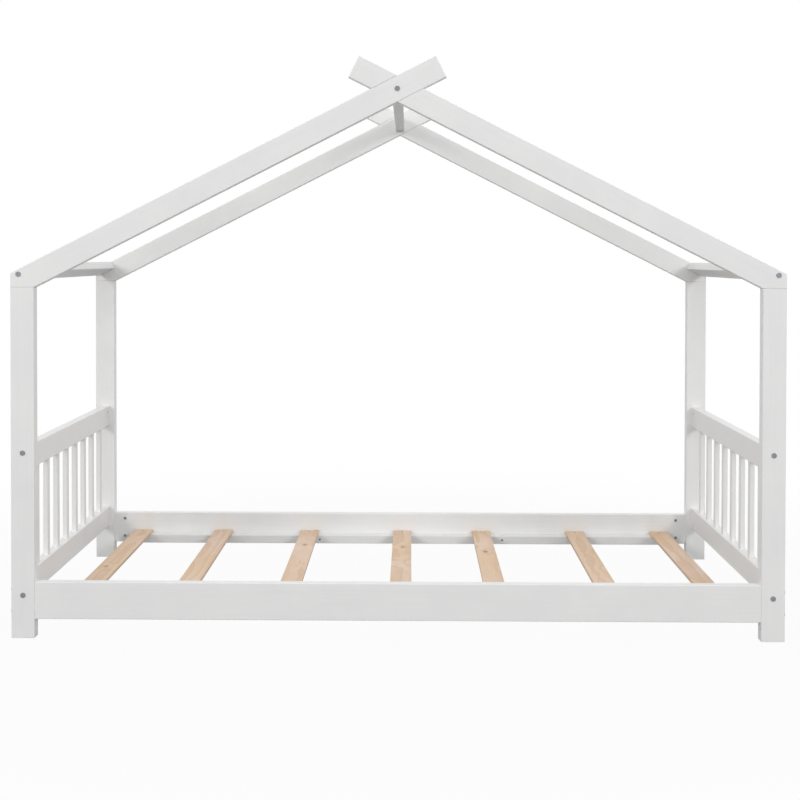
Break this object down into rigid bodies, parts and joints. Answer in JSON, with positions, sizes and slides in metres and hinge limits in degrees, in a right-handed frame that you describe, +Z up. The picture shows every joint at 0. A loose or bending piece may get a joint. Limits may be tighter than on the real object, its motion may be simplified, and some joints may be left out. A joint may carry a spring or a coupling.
{
  "type": "house frame bed",
  "caption": "Low child's bed with corner posts, spindled end panels, slats between side rails, and crossed rafters with ridge and eave beams that outline a gabled house",
  "frame": {"origin": "on the floor, in the middle of the four posts", "axes": "+X along the bed, +Y from the open front to the back, +Z up"},
  "size_m": [2.0388, 1.0708, 1.5331],
  "materials": {
    "white_paint": "satin white lacquer on planed pine",
    "natural_pine": "planed, unpainted",
    "beech_dowel": "fluted beech, unpainted",
    "zinc_steel": "dull zinc plate"
  },
  "bodies": {
    "root": {"back_cleat": "white_paint", "back_left_post": "white_paint", "back_left_rafter": "white_paint", "back_right_post": "white_paint", "back_right_rafter": "white_paint", "back_side_rail": "white_paint", "cleat_screws": "zinc_steel", "front_cleat": "white_paint", "front_left_post": "white_paint", "front_left_rafter": "white_paint", "front_right_post": "white_paint", "front_right_rafter": "white_paint", "front_side_rail": "white_paint", "left_eave_tie": "white_paint", "left_panel_lower_rail": "white_paint", "left_panel_upper_rail": "white_paint", "left_spindle_1": "white_paint", "left_spindle_2": "white_paint", "left_spindle_3": "white_paint", "left_spindle_4": "white_paint", "left_spindle_5": "white_paint", "left_spindle_6": "white_paint", "left_spindle_7": "white_paint", "left_spindle_8": "white_paint", "panel_barrel_nuts": "zinc_steel", "panel_bolts": "zinc_steel", "panel_dowels": "beech_dowel", "post_dowels": "beech_dowel", "ridge_barrel_nuts": "zinc_steel", "ridge_beam": "white_paint", "ridge_bolts": "zinc_steel", "ridge_dowels": "beech_dowel", "right_eave_tie": "white_paint", "right_panel_lower_rail": "white_paint", "right_panel_upper_rail": "white_paint", "right_spindle_1": "white_paint", "right_spindle_2": "white_paint", "right_spindle_3": "white_paint", "right_spindle_4": "white_paint", "right_spindle_5": "white_paint", "right_spindle_6": "white_paint", "right_spindle_7": "white_paint", "right_spindle_8": "white_paint", "side_rail_barrel_nuts": "zinc_steel", "side_rail_bolts": "zinc_steel", "slat_1": "natural_pine", "slat_2": "natural_pine", "slat_3": "natural_pine", "slat_4": "natural_pine", "slat_5": "natural_pine", "slat_6": "natural_pine", "slat_7": "natural_pine", "slat_screws": "zinc_steel", "tie_barrel_nuts": "zinc_steel", "tie_bolts": "zinc_steel", "tie_dowels": "beech_dowel"}
  },
  "joints": []
}
